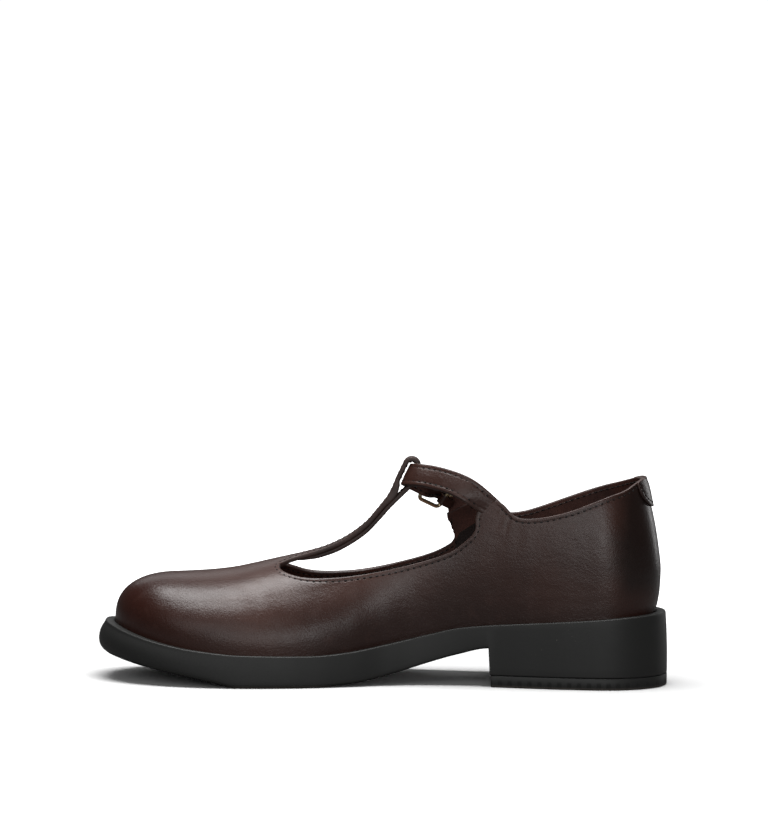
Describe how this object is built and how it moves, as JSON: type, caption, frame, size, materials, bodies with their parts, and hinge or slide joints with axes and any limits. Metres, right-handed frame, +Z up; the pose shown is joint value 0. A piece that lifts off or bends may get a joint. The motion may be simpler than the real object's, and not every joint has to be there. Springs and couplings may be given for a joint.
{
  "type": "t-bar shoe",
  "caption": "Leather T-bar shoe with a cup sole, low block heel, open sides, and a buckled strap through the bar's folded loop.",
  "frame": {"origin": "on the ground at the middle of the heel's rest face", "axes": "+X forward to the toe, +Y to the wearer's left, which is the medial side of this right shoe, +Z up"},
  "size_m": [0.262, 0.091, 0.1026],
  "materials": {
    "sole_rubber": "matte",
    "top_piece_rubber": "matte",
    "insole_leather": "matte",
    "upper_leather": "polished",
    "tab_leather": "polished",
    "strap_leather": "polished",
    "gore_elastic": "ribbed",
    "chape_leather": "satin",
    "buckle_metal": "polished",
    "prong_metal": "polished"
  },
  "bodies": {
    "root": {"outsole": "sole_rubber", "heel_top_piece": "top_piece_rubber", "insole": "insole_leather", "upper": "upper_leather", "back_tab": "tab_leather", "cross_strap": "strap_leather", "elastic_gore": "gore_elastic", "buckle_chape": "chape_leather", "buckle_frame": "buckle_metal", "buckle_prong": "prong_metal"}
  },
  "joints": []
}
